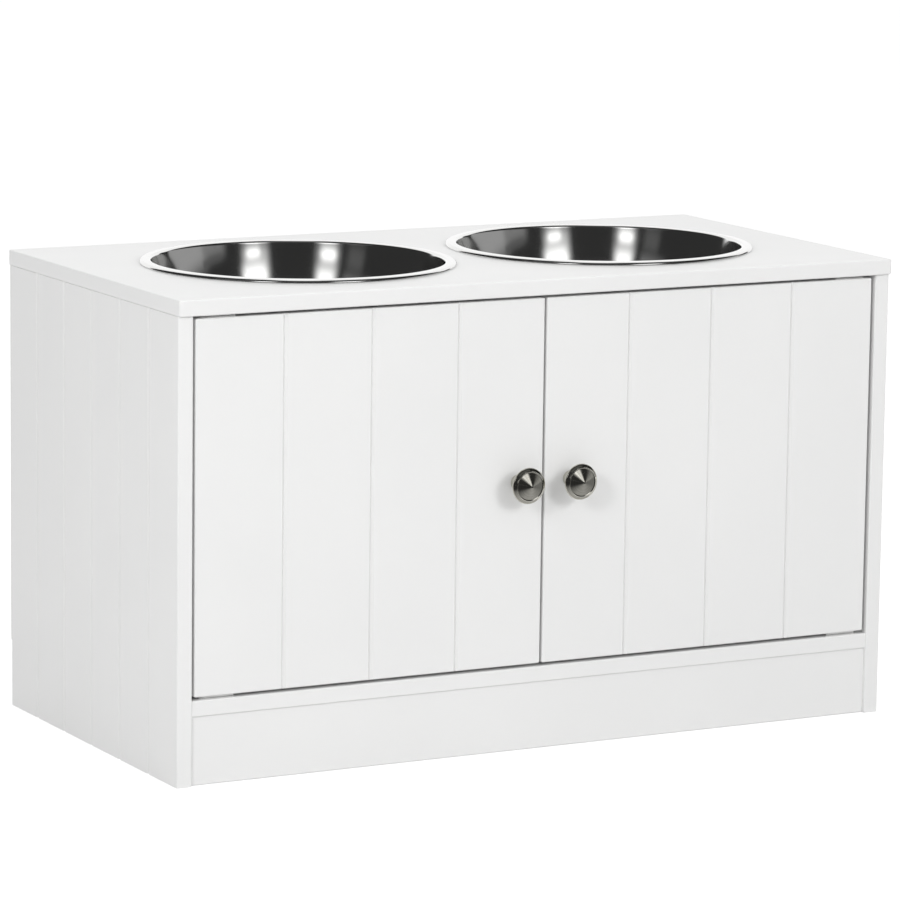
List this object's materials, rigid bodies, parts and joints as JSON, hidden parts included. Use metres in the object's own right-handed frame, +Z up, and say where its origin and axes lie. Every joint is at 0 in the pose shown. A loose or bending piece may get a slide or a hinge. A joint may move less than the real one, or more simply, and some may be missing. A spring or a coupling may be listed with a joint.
{
  "type": "elevated pet feeder with storage",
  "caption": "White grooved cabinet with two knobbed doors on pivot hinges, and flanged steel bowls dropped into cut-outs in its top panel.",
  "frame": {"origin": "middle of the whole object's box in X and Y, on the floor at its base", "axes": "+X to the right of a user who faces the doors, +Y from the doors to the back panel, +Z up"},
  "size_m": [0.6, 0.3292, 0.3579],
  "materials": {
    "white_paint": "satin white lacquer over fibreboard",
    "back_board": "matt white foil over thin fibreboard",
    "screw_zinc": "bright zinc-plated steel",
    "hinge_steel": "nickel-plated steel strip",
    "knob_nickel": "turned and brushed nickel",
    "bowl_steel": "mirror-polished stainless steel",
    "catch_plastic": "moulded white plastic",
    "magnet": "dark sintered ferrite",
    "dowel_wood": "fluted beech",
    "cam_zinc": "die-cast zinc",
    "bolt_steel": "zinc-plated steel"
  },
  "bodies": {
    "cabinet": {"back_panel": "back_board", "back_panel_nails": "bolt_steel", "bottom_shelf": "white_paint", "cabinet_hinge_screws": "screw_zinc", "catch_screws": "screw_zinc", "hinge_pins": "hinge_steel", "left_catch_housing": "catch_plastic", "left_catch_magnet": "magnet", "left_catch_pole_plates": "hinge_steel", "left_lower_cabinet_hinge_leaf": "hinge_steel", "left_side_panel": "white_paint", "left_upper_cabinet_hinge_leaf": "hinge_steel", "plinth": "white_paint", "plinth_cam_bolts": "bolt_steel", "plinth_cams": "cam_zinc", "plinth_dowels": "dowel_wood", "right_catch_housing": "catch_plastic", "right_catch_magnet": "magnet", "right_catch_pole_plates": "hinge_steel", "right_lower_cabinet_hinge_leaf": "hinge_steel", "right_side_panel": "white_paint", "right_upper_cabinet_hinge_leaf": "hinge_steel", "shelf_cam_bolts": "bolt_steel", "shelf_cams": "cam_zinc", "shelf_dowels": "dowel_wood", "side_panel_cams": "cam_zinc", "top_cam_bolts": "bolt_steel", "top_dowels": "dowel_wood", "top_panel": "white_paint"},
    "left_door_body": {"left_door": "white_paint", "left_door_hinge_screws": "screw_zinc", "left_knob": "knob_nickel", "left_knob_screw": "screw_zinc", "left_lower_door_hinge_leaf": "hinge_steel", "left_strike_plate": "hinge_steel", "left_strike_screw": "screw_zinc", "left_upper_door_hinge_leaf": "hinge_steel"},
    "right_door_body": {"right_door": "white_paint", "right_door_hinge_screws": "screw_zinc", "right_knob": "knob_nickel", "right_knob_screw": "screw_zinc", "right_lower_door_hinge_leaf": "hinge_steel", "right_strike_plate": "hinge_steel", "right_strike_screw": "screw_zinc", "right_upper_door_hinge_leaf": "hinge_steel"},
    "left_bowl_body": {"left_bowl": "bowl_steel"},
    "right_bowl_body": {"right_bowl": "bowl_steel"}
  },
  "joints": [
    {"name": "left_door_hinge", "type": "hinge", "parent": "cabinet", "child": "left_door_body", "pos_m": [-0.275, -0.1357, 0.203], "axis": [0, 0, -1], "range_deg": [0, 110]},
    {"name": "right_door_hinge", "type": "hinge", "parent": "cabinet", "child": "right_door_body", "pos_m": [0.275, -0.1357, 0.203], "axis": [0, 0, 1], "range_deg": [0, 110]},
    {"name": "left_bowl_lift", "type": "slide", "parent": "cabinet", "child": "left_bowl_body", "axis": [0, 0, 1], "range_m": [0, 0.12]},
    {"name": "right_bowl_lift", "type": "slide", "parent": "cabinet", "child": "right_bowl_body", "axis": [0, 0, 1], "range_m": [0, 0.12]}
  ]
}
